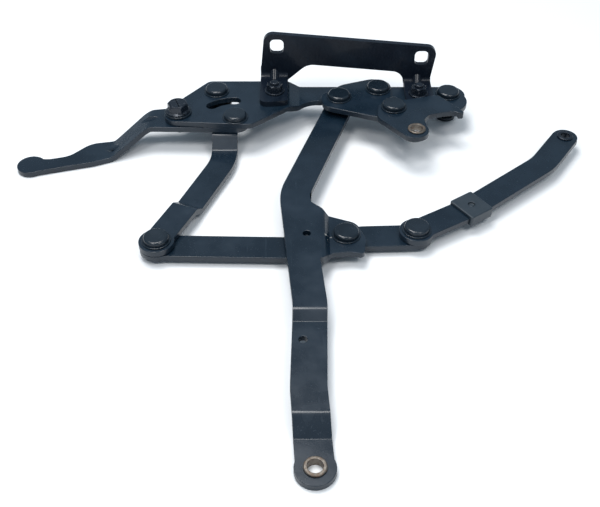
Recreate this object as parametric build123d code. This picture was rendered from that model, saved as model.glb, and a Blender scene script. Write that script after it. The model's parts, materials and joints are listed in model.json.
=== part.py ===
# Riveted steel folding linkage, lying flat. Millimetres, +Z up, origin at the bottom centre.
#
# Every plate lies in one of six levels, so that links pass over and under each other.
# Level A is the lowest. Bent plates change level in a joggle, a short sloping step.

import os
from math import atan2, cos, radians, sin, tan

from build123d import *

os.makedirs("parts", exist_ok=True)

# ---- driving dimensions -------------------------------------------------------------------

PLATE = 4.0             # thickness of every link and plate
GAP = 0.3               # free height between two levels
TAIL = 3.0              # room under level A for rivet tails
BAR = 20.0              # width of a link
BEND = 4.0              # centre-line radius of a joggle
TALL = 80.0             # taller than the whole part, for cutting and intersecting
WIDE = 260.0            # wider than the whole part, for the same
TINY = 1e-6             # a shorter edge is left out

LEVEL = {name: TAIL + i * (PLATE + GAP) for i, name in enumerate("ABCDEF")}
FLOOR = 0.0

# Pivots and fixing points, in plan
R1 = (28.5, 144.5)      # long arm on the crank plate
R2 = (57.7, 155.5)      # crank plate on the rail
R3 = (66.8, 124.8)      # drive crank on the crank plate
R4 = (110.0, 155.5)     # stand-off pin at the end of the rail
R5 = (-61.4, 152.3)     # curved link on the rail
R6 = (-46.0, 118.2)     # rivet of the support arm
R7 = (-89.7, 0.7)       # curved link on the cross link
R8 = (29.1, 6.2)        # cross link on the ear of the long arm
R9 = (73.8, 10.8)       # outer link on the cross link
ARM_BOLT = (-87.0, 124.0)
LEFT_FOOT_BOLT = (-18.5, 146.0)
RIGHT_FOOT_BOLT = (87.0, 149.5)
ARM_FOOT = (7.6, -161.1)        # bush at the far end of the long arm
CRANK_LUG = (80.5, 97.0)        # bush in the lug of the drive crank
OUTER_EYE = (189.7, 113.0)      # eyelet at the far end of the outer link
PADDLE = (-188.7, 89.4)         # round end of the support arm

SMALL_HOLES = ((4.2, 2.6), (1.7, -82.3))    # in the long arm
SMALL_HOLE_R = 2.5
PADDLE_R = 9.8
BUSH_BORE_R = 4.1       # both bushes take an 8 mm pin
EYE_BORE_R = 3.2        # the eyelet takes a 6 mm pin
FOOT_BUSH_R = 5.6
CRANK_BUSH_R = 5.2
EYELET_R = 4.4

# Rivets
SHANK_R = 4.0
SHANK_PLAY = 0.08       # radial clearance of a turning hole
HEAD_R, HEAD_H = 8.0, 3.0
WASHER_R, WASHER_H = 9.2, 0.8
TAIL_R = 6.0
SPACER_R = 5.2          # ring between the crank plate and the long arm
RUB = 0.2               # free height under the head of a pivot
OPEN_PIVOT_PLAY = 2.6   # radial clearance of the one pivot that closes the loop

# Screws, across flats and heights
M8_FLATS, M8_HEAD, M8_NUT = 13.0, 5.5, 4.0
M6_FLATS, M6_HEAD, M6_NUT = 10.0, 4.0, 5.0
M6_HOLE_R = 3.2
M6_WASHER_R, M6_WASHER_H = 7.0, 1.4
BOLT_PAST_NUT = 2.7     # length of the M8 bolt below its nut

DART_R = 3.6            # stiffening darts pressed into the bends

# Bracket
FLANGE_FRONT, FLANGE_BACK = 168.0, 172.0
FLANGE_HOLES = ((-17.0, 52.3), (89.6, 42.9))    # centres in X and Z
FLANGE_HOLE_W, FLANGE_HOLE_H, FLANGE_HOLE_R = 10.0, 11.2, 3.4


# ---- helpers ------------------------------------------------------------------------------

def rounded_line(corners, closed=False):
    """Wire through corners given as (x, y, radius), each corner rounded by an arc."""
    points = [Vector(x, y) for x, y, _ in corners]
    stops = []
    for i, (_, _, radius) in enumerate(corners):
        here = points[i]
        if radius == 0:
            stops.append((here, None, here))
            continue
        back = (points[i - 1] - here).normalized()
        ahead = (points[(i + 1) % len(points)] - here).normalized()
        half = radians(back.get_angle(ahead)) / 2
        crown = here + (back + ahead).normalized() * (radius / sin(half) - radius)
        reach = radius / tan(half)
        stops.append((here + back * reach, crown, here + ahead * reach))
    edges = [ThreePointArc(*stop) for stop in stops if stop[1]]
    pairs = zip(stops, stops[1:] + stops[:1]) if closed else zip(stops, stops[1:])
    spans = [(leave[2], arrive[0]) for leave, arrive in pairs]
    edges += [Line(a, b) for a, b in spans if (b - a).length > TINY]
    return Wire(edges)


def outline(*corners):
    """Closed face from corners given as (x, y, corner radius)."""
    return make_face(rounded_line(corners, closed=True))


def bar(corners, width, end_radii):
    """Strip along a bent centre line, with a round end about each end point."""
    strip = trace(rounded_line(corners), width)
    for (x, y, _), radius in zip((corners[0], corners[-1]), end_radii):
        strip += Pos(x, y) * Circle(radius)
    return strip


def slab(face, bottom, height=PLATE):
    """Flat plate from a plan face, standing on the height bottom."""
    return extrude(Pos(0, 0, bottom) * face, amount=height)


def ribbon(plane, points, thickness=PLATE, radius=BEND):
    """Bent sheet: a side profile drawn on a vertical plane, made wide both ways."""
    inner = [(x, z, radius) for x, z in points[1:-1]]
    path = rounded_line([(*points[0], 0), *inner, (*points[-1], 0)])
    return extrude(plane * trace(path, thickness), amount=WIDE, both=True)


def bent(face, plane, points, radius=BEND):
    """Plate with a plan outline that follows a side profile."""
    return slab(face, -1.0, TALL) & ribbon(plane, points, radius=radius)


def middle(level):
    """Height of the middle of a plate in a level."""
    return LEVEL[level] + PLATE / 2


def dart(at, along, outward, reach):
    """Half of a round bar, laid across the inside of a bend as a stiffening rib."""
    face = Circle(DART_R) & Pos(0, DART_R) * Rectangle(2 * DART_R, 2 * DART_R)
    plane = Plane(origin=at, x_dir=Vector(*outward).cross(Vector(*along)), z_dir=along)
    return extrude(plane * face, amount=reach, both=True)


def drill(body, at, radius):
    """The body with a vertical hole right through it."""
    return body - Pos(at[0], at[1], TALL / 2) * Cylinder(radius, 2 * TALL)


def disc(at, radius, bottom, height, bore=0.0):
    """Upright disc or ring."""
    ring = Circle(radius) - Circle(bore) if bore else Circle(radius)
    return slab(Pos(*at) * ring, bottom, height)


def turned(at, *corners):
    """Body turned about a vertical axis, from (radius, height, corner radius)."""
    profile = Plane.XZ * outline((0, corners[0][1], 0), *corners, (0, corners[-1][1], 0))
    return Pos(*at) * revolve(profile, Axis.Z)


def rivet(at, tail_bottom, tail_top, head_bottom, tail_radius=TAIL_R):
    """Round-headed rivet: an upset tail below, a shank, and a flat head with a round rim."""
    head_top = head_bottom + HEAD_H
    return turned(
        at,
        (tail_radius, tail_bottom, 0.9), (tail_radius, tail_top, 0),
        (SHANK_R, tail_top, 0), (SHANK_R, head_bottom, 0),
        (HEAD_R, head_bottom, 0.4), (HEAD_R, head_top, 1.6),
    )


def washer(at, bottom, radius=WASHER_R, height=WASHER_H, bore=SHANK_R):
    return disc(at, radius, bottom, height, bore)


def hexagon(at, flats, bottom, height, turn=0.0, bore=0.0):
    """Hexagonal prism with its top corners turned off, bored if it is a nut."""
    prism = slab(RegularPolygon(flats / 2, 6, major_radius=False, rotation=turn), bottom, height)
    crown = turned((0, 0), (flats * 0.6, bottom, 0), (flats * 0.6, bottom + height * 0.8, 0),
                   (flats * 0.48, bottom + height, 0))
    body = Pos(*at) * (prism & crown)
    return drill(body, at, bore) if bore else body


def joined(*solids):
    """Separate solids kept in one node."""
    return Compound(children=[s.solid() for s in solids])


# ---- rail and what is fixed to it ---------------------------------------------------------

def rear_rail():
    """Wide plate on the left, narrow bar one level lower on the right, round lobe at its end."""
    plan = outline(
        (-96, 113, 10), (-35, 109, 9), (-6, 134, 18), (6, 146, 16), (92, 146, 12),
        (108, 132, 0), (108, 165.5, 0), (2, 165.5, 30), (-14, 166.5, 30), (-68, 166.5, 6),
        (-97, 128, 8),
    )
    plan += Pos(107.5, 147.5) * Circle(15.5)
    plan += Pos(110.5, 155) * Circle(12)
    plan -= Pos(*R1) * Circle(SPACER_R + 2.3)
    slot = SlotArc(CenterArc((-48, 117), 22.5, 88, 46), 8.3)
    high, low = middle("E"), middle("D")
    body = bent(plan - slot, Plane.XZ, [(-130, high), (-9, high), (-1, low), (150, low)])
    for at in (R2, R4, R5, R6, ARM_BOLT):
        body = drill(body, at, SHANK_R)
    for at in (LEFT_FOOT_BOLT, RIGHT_FOOT_BOLT):
        body = drill(body, at, 3.0)
    return body


def mount_bracket():
    """Upright flange with a sloping top edge, bent out of two feet at different levels."""
    left_foot, right_foot = LEVEL["E"] + PLATE, LEVEL["D"] + PLATE
    face = outline(
        (-29.2, left_foot + 7, 0), (-26, 62.9, 7), (101, 51.6, 7), (97.7, right_foot + 7, 0),
        (77.7, right_foot + 7, 0), (77.7, 21, 0), (76.2, 31, 9), (5.5, 37.5, 12), (-9, 24.5, 0),
        (-9, left_foot + 7, 0),
    )
    for x, z in FLANGE_HOLES:
        face -= Pos(x, z) * RectangleRounded(FLANGE_HOLE_W, FLANGE_HOLE_H, FLANGE_HOLE_R)
    body = extrude(Plane.XZ.offset(-FLANGE_BACK) * face, amount=PLATE)
    upright = (FLANGE_FRONT + FLANGE_BACK) / 2
    feet = (
        (left_foot, outline((-29.2, 131, 5), (-9, 133.5, 3), (-9, 180, 0), (-29.2, 180, 0))),
        (right_foot, outline((77.7, 138.5, 3), (97.7, 140.5, 5), (97.7, 180, 0), (77.7, 180, 0))),
    )
    for bottom, plan in feet:
        centre = bottom + PLATE / 2
        profile = [(100, centre), (upright, centre), (upright, bottom + 10)]
        body += slab(plan, -1, TALL) & ribbon(Plane.YZ, profile, radius=5)
        corner = (plan.bounding_box().center().X, FLANGE_FRONT - 0.2, bottom + PLATE + 0.2)
        body += dart(corner, (0, 1, 1), (0, -1, 1), 5)
    for at in (LEFT_FOOT_BOLT, RIGHT_FOOT_BOLT):
        body = drill(body, at, M6_HOLE_R)
    return body


def bracket_bolts():
    """Two M6 bolts pushed up through the rail and the feet."""
    bolts = []
    for at, under, top in (
        (LEFT_FOOT_BOLT, LEVEL["E"], LEVEL["E"] + 16.3),
        (RIGHT_FOOT_BOLT, LEVEL["D"], LEVEL["D"] + 16.3),
    ):
        shank = turned(at, (3.0, under, 0), (3.0, top, 0.8))
        bolts.append(shank + hexagon(at, M6_FLATS, under - M6_HEAD, M6_HEAD))
    return joined(*bolts)


def bracket_washers():
    return joined(
        washer(LEFT_FOOT_BOLT, LEVEL["E"] + 2 * PLATE, M6_WASHER_R, M6_WASHER_H, M6_HOLE_R),
        washer(RIGHT_FOOT_BOLT, LEVEL["D"] + 2 * PLATE, M6_WASHER_R, M6_WASHER_H, M6_HOLE_R),
    )


def bracket_nuts():
    return joined(
        hexagon(LEFT_FOOT_BOLT, M6_FLATS, LEVEL["E"] + 2 * PLATE + 1.4, M6_NUT, 10, 3.0),
        hexagon(RIGHT_FOOT_BOLT, M6_FLATS, LEVEL["D"] + 2 * PLATE + 1.4, M6_NUT, 25, 3.0),
    )


ARM_BOTTOM = LEVEL["E"] - PLATE     # the arm is clamped against the underside of the rail


def support_arm():
    """Bar under the left end of the rail, bent down to the floor, with a round paddle end."""
    plan = outline(
        (-36.5, 110, 9), (-36.5, 130, 10), (-94, 136, 10), (-113, 133, 10),
        (-133, 118, 14), (-151, 114.5, 16), (-164, 99.5, 16), (-182, 94.5, 16), (-189, 99.3, 0),
        (-189, 79.9, 0), (-181, 82, 16), (-166, 86.5, 16), (-146, 92, 20), (-131, 98.5, 20),
        (-108, 111.5, 14),
    )
    plan += Pos(*PADDLE) * Circle(PADDLE_R)
    high, low = ARM_BOTTOM + PLATE / 2, PLATE / 2
    upper_bend, lower_bend = -107, -134
    body = bent(plan, Plane.XZ, [(0, high), (upper_bend, high), (lower_bend, low), (-230, low)],
                radius=7)
    half_slope = atan2(high - low, upper_bend - lower_bend) / 2
    along, outward = (cos(half_slope), 0, sin(half_slope)), (-sin(half_slope), 0, cos(half_slope))
    body += dart((lower_bend, 108, 2.4), along, outward, 7.5)
    inward = tuple(-n for n in outward)
    body -= dart((upper_bend, 122.5, high + DART_R), along, inward, 12)
    for at in (R6, ARM_BOLT):
        body = drill(body, at, SHANK_R)
    return body


def support_arm_rivet():
    """Rivet with a flush tail, so that the curved link can pass under it."""
    top = LEVEL["E"] + PLATE + WASHER_H
    return rivet(R6, ARM_BOTTOM, ARM_BOTTOM + 1.0, top, tail_radius=SHANK_R)


def support_arm_bolt():
    """M8 bolt with a flanged head; its end stands a little out of a thin nut."""
    seat = LEVEL["E"] + PLATE + 1.6
    flange = turned(ARM_BOLT, (8.5, seat, 0), (8.5, seat + 0.8, 0.3), (6.5, seat + 2.0, 0))
    shank = turned(ARM_BOLT, (SHANK_R, ARM_BOTTOM - M8_NUT - BOLT_PAST_NUT, 0.8), (SHANK_R, seat, 0))
    return flange + shank + hexagon(ARM_BOLT, M8_FLATS, seat + 1.2, M8_HEAD, -5)


def support_arm_nut():
    return hexagon(ARM_BOLT, M8_FLATS, ARM_BOTTOM - M8_NUT, M8_NUT, 5, SHANK_R)


def standoff_pin():
    """Shouldered pin that holds the rail end above the floor, with a round foot."""
    under, top = LEVEL["D"], LEVEL["D"] + PLATE + WASHER_H
    return turned(
        R4,
        (7.3, FLOOR, 0.8), (7.3, 3.0, 0.8), (5.5, 3.0, 0), (5.5, under, 0), (SHANK_R, under, 0),
        (SHANK_R, top, 0), (HEAD_R, top, 0.4), (HEAD_R, top + HEAD_H, 1.6),
    )


def fixed_washers():
    """Washers under the heads of the support arm rivet, its bolt, and the stand-off pin."""
    return joined(
        washer(R6, LEVEL["E"] + PLATE),
        washer(ARM_BOLT, LEVEL["E"] + PLATE, 9.5, 1.6),
        washer(R4, LEVEL["D"] + PLATE),
        washer(R5, LEVEL["E"] + PLATE),
    )


def curved_link_rivet():
    return rivet(R5, LEVEL["B"] + 1.2, LEVEL["C"] - RUB, LEVEL["E"] + PLATE + WASHER_H)


def curved_link_spacer():
    return disc(R5, 7.5, LEVEL["D"], LEVEL["E"] - LEVEL["D"], SHANK_R)


def crank_plate_rivet():
    """Rivet fixed in the rail, on which the crank plate turns."""
    top = LEVEL["E"] + PLATE + RUB + WASHER_H
    return rivet(R2, LEVEL["D"] - 2.8, LEVEL["D"], top)


def crank_plate_washer():
    return washer(R2, LEVEL["E"] + PLATE + RUB)


# ---- crank plate --------------------------------------------------------------------------

def crank_plate():
    """Triangular plate with a round corner about each of its three pivots."""
    plan = outline(
        (14.5, 146.5, 9), (31, 161.5, 14), (54, 170, 14), (68, 166.5, 10), (66.5, 143, 12),
        (78, 134, 9), (77, 110, 9), (17.5, 132.5, 9),
    )
    body = slab(plan, LEVEL["E"])
    for at in (R1, R3):
        body = drill(body, at, SHANK_R)
    return drill(body, R2, SHANK_R + SHANK_PLAY)


def long_arm_rivet():
    return rivet(R1, LEVEL["B"] + 1.2, LEVEL["C"] - RUB, LEVEL["E"] + PLATE + WASHER_H)


def long_arm_spacer():
    return disc(R1, SPACER_R, LEVEL["D"], LEVEL["E"] - LEVEL["D"], SHANK_R)


def drive_crank_rivet():
    top = LEVEL["F"] + PLATE + RUB + WASHER_H
    return rivet(R3, LEVEL["E"] - 2.8, LEVEL["E"], top)


def crank_plate_washers():
    return joined(washer(R1, LEVEL["E"] + PLATE), washer(R3, LEVEL["F"] + PLATE + RUB))


# ---- long arm -----------------------------------------------------------------------------

def long_arm():
    """Main bar in three levels, with a side ear one level lower for the cross link."""
    line = [(*R1, 0), (-3.6, 43, 46), (5.8, -58, 60), (4.6, -116, 60), (*ARM_FOOT, 0)]
    high, mid, low = middle("C"), middle("B"), PLATE / 2
    body = bent(bar(line, BAR, (10.8, 10.9)), Plane.YZ, [
        (200, high), (-62, high), (-68, mid), (-132.5, mid), (-143.5, low), (-200, low),
    ], radius=3)
    ear = outline(
        (-4, 34, 0), (7, 34, 6), (17, 25, 6), (36, 17.5, 9), (41.5, 2, 10), (39.5, -11.8, 2.5),
        (31, -10, 6), (19, -11.5, 4), (14, -20, 5), (0, -20, 0),
    )
    body += bent(ear, Plane.XZ, [(-20, high), (13.8, high), (17.6, mid), (60, mid)], radius=2.2)
    body = drill(body, R1, SHANK_R + SHANK_PLAY)
    body = drill(body, R8, SHANK_R)
    for at in SMALL_HOLES:
        body = drill(body, at, SMALL_HOLE_R)
    return drill(body, ARM_FOOT, FOOT_BUSH_R)


def foot_bush():
    """Flanged tube pressed into the far end of the long arm."""
    return turned_tube(ARM_FOOT, BUSH_BORE_R, FOOT_BUSH_R, 6.2, FLOOR, PLATE, 1.4)


def turned_tube(at, bore, outer, rim, bottom, top, rim_height):
    """Eyelet: a tube through a plate with a rolled rim on top."""
    tube = turned(at, (outer, bottom, 0), (outer, top, 0), (rim, top, 0),
                  (rim, top + rim_height, rim_height * 0.6))
    return drill(tube, at, bore)


def cross_link_rivet():
    top = LEVEL["B"] + PLATE + WASHER_H
    return rivet(R8, FLOOR, LEVEL["A"] - RUB, top)


def cross_link_washer():
    return washer(R8, LEVEL["B"] + PLATE)


# ---- cross link ---------------------------------------------------------------------------

def cross_link():
    """Flat bar, jogged sideways where it passes under the long arm."""
    plan = bar([(*R7, 0), (6, -1.5, 30), (38, 9.4, 30), (*R9, 0)], BAR, (11.0, 10.0))
    body = slab(plan, LEVEL["A"])
    for at in (R7, R9):
        body = drill(body, at, SHANK_R)
    return drill(body, R8, SHANK_R + SHANK_PLAY)


def curved_end_rivet():
    top = LEVEL["B"] + PLATE + RUB + WASHER_H
    return rivet(R7, FLOOR, LEVEL["A"], top)


def outer_link_rivet():
    top = LEVEL["B"] + PLATE + RUB + WASHER_H
    return rivet(R9, FLOOR, LEVEL["A"], top)


def cross_link_washers():
    height = LEVEL["B"] + PLATE + RUB
    return joined(washer(R7, height), washer(R9, height))


# ---- curved link --------------------------------------------------------------------------

def curved_link():
    """Bowed link that drops two levels near the rail and climbs one near the cross link."""
    knee = (-72, 42)
    line = [(*R5, 0), (-53.5, 118, 40), (-53.5, 90, 50), (*knee, 90), (*R7, 0)]
    plan = bar(line, 18.0, (10.5, 11.2))
    top, low, end = middle("C"), middle("A"), middle("B")
    leg = (Vector(*knee) - Vector(*R7)).normalized()
    along_leg = Plane(origin=(*R7, 0), x_dir=leg, z_dir=(leg.Y, -leg.X, 0))
    body = bent(plan, Plane.YZ, [(200, top), (111, top), (103, low), (60, low)])
    body += bent(plan, along_leg, [(-40, end), (36.5, end), (43, low), (70, low)], radius=3)
    body = drill(body, R5, SHANK_R + SHANK_PLAY)
    return drill(body, R7, SHANK_R + OPEN_PIVOT_PLAY)


# ---- outer link ---------------------------------------------------------------------------

BLOCK = (111.5, 34.0)           # middle of the guide block
OUTER_BEND = (168.0, 81.5)
OUTER_WIDTH = 18.0


def outer_link():
    """Bar with two soft bends, and an eyelet at its free end."""
    line = [(*R9, 0), (*BLOCK, 60), (*OUTER_BEND, 45), (*OUTER_EYE, 0)]
    plan = bar(line, OUTER_WIDTH, (11.0, 8.8))
    body = slab(plan, LEVEL["B"])
    body = drill(body, R9, SHANK_R + SHANK_PLAY)
    return drill(body, OUTER_EYE, EYELET_R)


def outer_eyelet():
    return turned_tube(OUTER_EYE, EYE_BORE_R, EYELET_R, 5.6, LEVEL["B"], LEVEL["B"] + PLATE, 1.2)


def guide_block():
    """Moulded sleeve round the outer link, with a peg sunk in a hole in its top."""
    tall, peg_top = 7.2, 12.4
    shell = slab(RectangleRounded(18.5, 21.5, 1.5), LEVEL["B"] - 1.3, tall)
    shell = fillet(shell.faces().sort_by(Axis.Z)[-1].edges(), 0.8)
    body = Pos(*BLOCK) * Rot(0, 0, 35) * shell
    line = [(*R9, 0), (*BLOCK, 60), (*OUTER_BEND, 0)]
    body -= slab(trace(rounded_line(line), OUTER_WIDTH), LEVEL["B"])
    ring_bottom = LEVEL["B"] + PLATE + 0.6
    return body - disc(BLOCK, 2.4, ring_bottom, 4, 1.5) - disc(BLOCK, 1.6, peg_top, 4)


# ---- drive crank --------------------------------------------------------------------------

LIP = 1.2               # depth of the lip under the crank's tip


def drive_crank():
    """Pressed plate with a lug for a drive rod and a tip bent down as a stop."""
    plan = outline(
        (54.5, 112, 9), (57, 136, 11), (73, 133.5, 20), (100, 141, 5), (111, 126, 20),
        (117, 117.4, 1.2), (112.6, 117.4, 1), (108, 119.8, 6), (91, 115.2, 4), (86.8, 109, 6),
        (90, 91, 8.5), (76, 85, 8.5),
    )
    body = slab(plan, LEVEL["F"])
    body += slab(plan, LEVEL["F"] - LIP, LIP + PLATE) & Pos(115, 119, TALL / 2) * Box(6, 6, TALL)
    body = drill(body, R3, SHANK_R + SHANK_PLAY)
    return drill(body, CRANK_LUG, CRANK_BUSH_R)


def drive_crank_bush():
    return turned_tube(CRANK_LUG, BUSH_BORE_R, CRANK_BUSH_R, 6.2, LEVEL["F"], LEVEL["F"] + PLATE, 1.2)


# ---- write one file for each node ---------------------------------------------------------

NODES = [
    rear_rail, mount_bracket, bracket_bolts, bracket_washers, bracket_nuts,
    support_arm, support_arm_rivet, support_arm_bolt, support_arm_nut,
    standoff_pin, fixed_washers, curved_link_rivet, curved_link_spacer,
    crank_plate_rivet, crank_plate_washer,
    crank_plate, long_arm_rivet, long_arm_spacer, drive_crank_rivet, crank_plate_washers,
    long_arm, foot_bush, cross_link_rivet, cross_link_washer,
    cross_link, curved_end_rivet, outer_link_rivet, cross_link_washers,
    curved_link, outer_link, outer_eyelet, guide_block,
    drive_crank, drive_crank_bush,
]

for make in NODES:
    export_step(make(), f"parts/{make.__name__}.step")
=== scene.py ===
# Looks of the riveted steel linkage: paint, one chipped spot, softened edges, floor, light and camera.
# Metres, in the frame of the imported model, +Z up.

import json
import math

import bpy
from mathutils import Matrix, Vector

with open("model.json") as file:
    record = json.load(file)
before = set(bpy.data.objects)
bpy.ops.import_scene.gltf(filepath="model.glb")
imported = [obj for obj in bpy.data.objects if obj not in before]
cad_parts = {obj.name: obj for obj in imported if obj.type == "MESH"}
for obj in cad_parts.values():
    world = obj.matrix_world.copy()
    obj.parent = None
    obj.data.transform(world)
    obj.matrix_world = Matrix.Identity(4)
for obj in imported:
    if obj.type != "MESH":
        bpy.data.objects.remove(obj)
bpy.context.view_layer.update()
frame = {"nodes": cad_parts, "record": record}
MM = 0.001

EDGE_RADIUS = 0.35 * MM         # rounding of the sharp edges
FLOOR_DROP = 0.3 * MM           # the floor lies this far under the part
FLOOR_HALF = 6.0
CAMERA_AT = (0, -0.420, 0.383)
CAMERA_DOWN = 42.3              # degrees below level
CHIP_COLOUR = (0.62, 0.6, 0.56)


# ---- node helpers -------------------------------------------------------------------------

class Graph:
    """Small helper that adds and links shader nodes of one material."""

    def __init__(self, name):
        self.material = bpy.data.materials.new(name)
        self.material.use_nodes = True
        self.tree = self.material.node_tree
        self.shader = self.tree.nodes["Principled BSDF"]
        self.place = self.tree.nodes.new("ShaderNodeTexCoord").outputs["Object"]

    def add(self, kind, **values):
        """A node, with attributes by name and sockets as in_NAME."""
        node = self.tree.nodes.new("ShaderNode" + kind)
        for key, value in values.items():
            if key.startswith("in_"):
                self.put(node, key[3:].replace("_", " "), value)
            else:
                setattr(node, key, value)
        return node

    def put(self, node, socket, value):
        """Links an output to a socket, or sets the socket's own value."""
        target = node.inputs[int(socket) if socket.isdigit() else socket]
        if isinstance(value, bpy.types.NodeSocket):
            self.tree.links.new(value, target)
        else:
            target.default_value = value

    def noise(self, scale, detail=3.0, stretch=(1, 1, 1), roughness=0.55):
        """Fine noise over the object's own space; scale is per metre."""
        mapping = self.add("Mapping", in_Vector=self.place, in_Scale=stretch)
        node = self.add("TexNoise", in_Vector=mapping.outputs[0], in_Scale=scale,
                        in_Detail=detail, in_Roughness=roughness)
        return node.outputs["Fac"]

    def ramp(self, value, low, high, start=0.0, end=1.0):
        """Clamped straight ramp from one range to another."""
        node = self.add("MapRange", in_Value=value, in_From_Min=low, in_From_Max=high,
                        in_To_Min=start, in_To_Max=end)
        return node.outputs[0]

    def math(self, operation, a, b=0.0):
        node = self.add("Math", operation=operation)
        self.put(node, "0", a)
        self.put(node, "1", b)
        return node.outputs[0]

    def mix(self, amount, a, b):
        """Colour a, turning into colour b with the amount."""
        node = self.add("Mix", data_type="RGBA")
        self.put(node, "0", amount)
        for index, colour in ((6, a), (7, b)):
            linked = isinstance(colour, bpy.types.NodeSocket)
            self.put(node, str(index), colour if linked else (*colour, 1))
        return node.outputs[2]

    def near(self, centre, radius, soft=0.4):
        """1 inside a ball round a place in metres, fading to 0 at its surface."""
        away = self.add("VectorMath", operation="DISTANCE", in_0=self.place, in_1=centre)
        return self.ramp(away.outputs["Value"], radius * (1 - soft), radius, 1, 0)

    def upright(self):
        """1 on faces that stand upright, 0 on flat ones."""
        normal = self.add("NewGeometry").outputs["True Normal"]
        z = self.add("SeparateXYZ", in_Vector=normal).outputs["Z"]
        return self.ramp(self.math("ABSOLUTE", z), 0.35, 0.6, 1, 0)

    def bump(self, height, depth, strength=1.0, before=None):
        """Bump of a depth in metres, after another bump if one is given."""
        node = self.add("Bump", in_Height=height, in_Distance=depth, in_Strength=strength)
        if before:
            self.put(node, "Normal", before)
        return node.outputs[0]

    def set(self, **values):
        for name, value in values.items():
            socket = name.replace("_", " ")
            if isinstance(value, tuple):
                value = (*value, 1)
            self.put(self.shader, socket, value)


# ---- materials ----------------------------------------------------------------------------

def paint(name, colour, dust=(0.035, 0.07, 0.11), gloss=0.2, shine=0.4, chips=()):
    """Gloss dip paint: orange peel, faint dust and rub marks, chipped spots, torn sheared edges."""
    g = Graph(name)
    broad = g.noise(22, 3)
    tone = g.mix(g.ramp(broad, 0.35, 0.7), colour, tuple(c * 1.35 + 0.002 for c in colour))
    specks = g.ramp(g.noise(900, 2), 0.66, 0.74, 0, 0.5)
    film = g.math("MULTIPLY", g.ramp(g.noise(60, 5), 0.45, 0.8), 0.22)
    rub = g.ramp(g.noise(260, 4, (1, 0.12, 1)), 0.62, 0.72, 0, 0.16)
    dusty = g.math("MAXIMUM", g.math("MAXIMUM", specks, film), rub)
    tone = g.mix(g.math("MULTIPLY", dusty, 0.5), tone, dust)
    bare = None
    for centre, radius, amount in chips:
        spot = g.ramp(g.noise(420, 2), 1.0 - amount, 1.03 - amount)
        spot = g.math("MULTIPLY", spot, g.near(centre, radius))
        bare = g.math("MAXIMUM", bare, spot) if bare else spot
    if bare:
        tone = g.mix(bare, tone, CHIP_COLOUR)
    peel = g.bump(g.noise(420, 2), 0.00006, 0.35)
    waves = g.bump(g.noise(45, 2), 0.0006, 0.3, peel)
    torn = g.math("MULTIPLY", g.noise(650, 4, (1, 1, 0.22), 0.65), g.upright())
    normal = g.bump(torn, 0.0003, 0.7, waves)
    rough = g.math("ADD", g.math("MULTIPLY", dusty, 0.5), g.ramp(broad, 0.3, 0.7, gloss, gloss + 0.1))
    rough = g.math("ADD", rough, g.math("MULTIPLY", g.upright(), 0.12))
    g.set(Base_Color=tone, Roughness=rough, Normal=normal)
    g.set(Specular_IOR_Level=shine, Coat_Weight=shine * 0.5, Coat_Roughness=0.08)
    return g.material


def fastener():
    """Dark zinc under thin paint, rubbed paler in patches."""
    g = Graph("dark_fastener")
    rub = g.ramp(g.noise(500, 4), 0.56, 0.7)
    tone = g.mix(rub, (0.010, 0.016, 0.026), (0.04, 0.047, 0.057))
    g.set(Base_Color=tone, Roughness=g.ramp(rub, 0, 1, 0.26, 0.4), Metallic=0.35)
    g.set(Normal=g.bump(g.noise(500, 2), 0.00005, 0.4), Specular_IOR_Level=0.6)
    return g.material


def worn_steel():
    """Bare bush metal with a dull film and light rust."""
    g = Graph("worn_steel")
    film = g.ramp(g.noise(330, 5), 0.35, 0.7)
    rust = g.ramp(g.noise(700, 5, roughness=0.7), 0.5, 0.66)
    tone = g.mix(film, (0.2, 0.18, 0.155), (0.11, 0.092, 0.075))
    tone = g.mix(g.math("MULTIPLY", rust, 0.7), tone, (0.17, 0.085, 0.045))
    g.set(Base_Color=tone, Metallic=g.ramp(rust, 0, 1, 0.8, 0.15),
          Roughness=g.ramp(rust, 0, 1, 0.38, 0.75))
    g.set(Normal=g.bump(g.noise(1500, 4), 0.0001, 0.6))
    return g.material


def block_plastic():
    """Moulded plastic with a fine spark texture."""
    g = Graph("block_plastic")
    tone = g.mix(g.noise(120, 3), (0.016, 0.026, 0.036), (0.026, 0.038, 0.05))
    g.set(Base_Color=tone, Roughness=g.ramp(g.noise(300, 3), 0.3, 0.7, 0.34, 0.46))
    g.set(Normal=g.bump(g.noise(1800, 2), 0.00006, 0.5), Specular_IOR_Level=0.5)
    return g.material


BAR_COLOUR = (0.003, 0.010, 0.019)
CHIPS = (
    # place in metres, radius, share that is bare
    ((0.0170, 0.0022, 0.012), 0.0035, 0.4),     # root of the ear
)
MATERIALS = {
    "painted_bar": paint("painted_bar", BAR_COLOUR, chips=CHIPS),
    # the bracket's darker colour is painted shade: the same paint as the bars, darkened because its
    # upright faces reflect the dark side of the room
    "painted_bracket": paint("painted_bracket", (0.003, 0.006, 0.012), shine=0.25),
    "painted_rivet": paint("painted_rivet", (0.004, 0.009, 0.015), gloss=0.16),
    "dark_fastener": fastener(),
    "worn_steel": worn_steel(),
    "block_plastic": block_plastic(),
}


# ---- CAD nodes ----------------------------------------------------------------------------

def soften(node, width, clamp):
    """Small rounding on every sharp edge, as a modifier. The clamp keeps it inside thin faces."""
    for face in node.data.polygons:
        face.use_smooth = True
    weld = node.modifiers.new("weld", "WELD")
    weld.merge_threshold = 2e-6
    flat = node.modifiers.new("flat", "DECIMATE")
    flat.decimate_type = "DISSOLVE"
    flat.angle_limit = math.radians(0.3)
    bevel = node.modifiers.new("bevel", "BEVEL")
    bevel.width = width
    bevel.segments = 3
    bevel.limit_method = "ANGLE"
    bevel.angle_limit = math.radians(35)
    bevel.use_clamp_overlap = clamp
    bevel.miter_outer = "MITER_ARC"
    even = node.modifiers.new("even", "WEIGHTED_NORMAL")
    even.mode = "FACE_AREA"
    even.weight = 60


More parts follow.
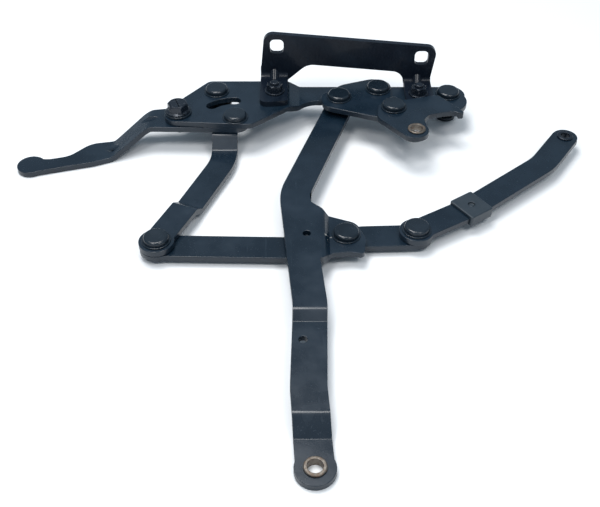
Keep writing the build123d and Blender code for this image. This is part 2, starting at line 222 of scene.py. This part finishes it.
def dress_nodes():
    """Gives each CAD node the finish that the record names for it."""
    slots = {part["node"]: part["material_slot"] for part in frame["record"]["subparts"]}
    for name, node in frame["nodes"].items():
        node.data.materials.clear()
        node.data.materials.append(MATERIALS[slots[name]])
        soften(node, EDGE_RADIUS, name == "mount_bracket")


dress_nodes()


# ---- floor, light and camera --------------------------------------------------------------

def floor():
    """Large pale floor, just under the part."""
    mesh = bpy.data.meshes.new("floor")
    signs = ((-1, -1), (1, -1), (1, 1), (-1, 1))
    corners = [(x * FLOOR_HALF, y * FLOOR_HALF, -FLOOR_DROP) for x, y in signs]
    mesh.from_pydata(corners, [], [(0, 1, 2, 3)])
    piece = bpy.data.objects.new("floor", mesh)
    bpy.context.scene.collection.objects.link(piece)
    g = Graph("floor")
    g.set(Base_Color=g.mix(g.noise(8, 3), (0.9, 0.91, 0.915), (0.93, 0.935, 0.94)),
          Roughness=0.6, Specular_IOR_Level=0.2)
    mesh.materials.append(g.material)


def area_light(name, place, aim, size, power):
    """Soft square light at a place, turned to an aim point."""
    lamp = bpy.data.lights.new(name, "AREA")
    lamp.shape = "SQUARE"
    lamp.size = size
    lamp.energy = power
    light = bpy.data.objects.new(name, lamp)
    light.location = place
    light.rotation_euler = (Vector(aim) - Vector(place)).to_track_quat("-Z", "Y").to_euler()
    bpy.context.scene.collection.objects.link(light)


def camera():
    """Looks along +Y and down, at the angle of the view that the part is known from."""
    data = bpy.data.cameras.new("camera")
    data.lens = 54
    data.sensor_width = 36
    eye = bpy.data.objects.new("camera", data)
    eye.location = CAMERA_AT
    eye.rotation_euler = (math.radians(90 - CAMERA_DOWN), 0, 0)
    bpy.context.scene.collection.objects.link(eye)
    bpy.context.scene.camera = eye


def surroundings():
    """Pale even room."""
    world = bpy.data.worlds.new("room")
    world.use_nodes = True
    back = world.node_tree.nodes["Background"]
    back.inputs["Color"].default_value = (0.62, 0.77, 0.92, 1)
    back.inputs["Strength"].default_value = 0.42
    bpy.context.scene.world = world


floor()
area_light("overhead", (-0.22, 0.28, 1.25), (0, 0, 0), 0.6, 12)
area_light("front_left", (-0.45, -0.55, 1.1), (0, 0, 0), 0.35, 4)
area_light("front_right", (0.45, -0.5, 1.1), (0, 0, 0), 0.35, 4)
surroundings()
camera()
bpy.context.scene.view_settings.view_transform = "Standard"
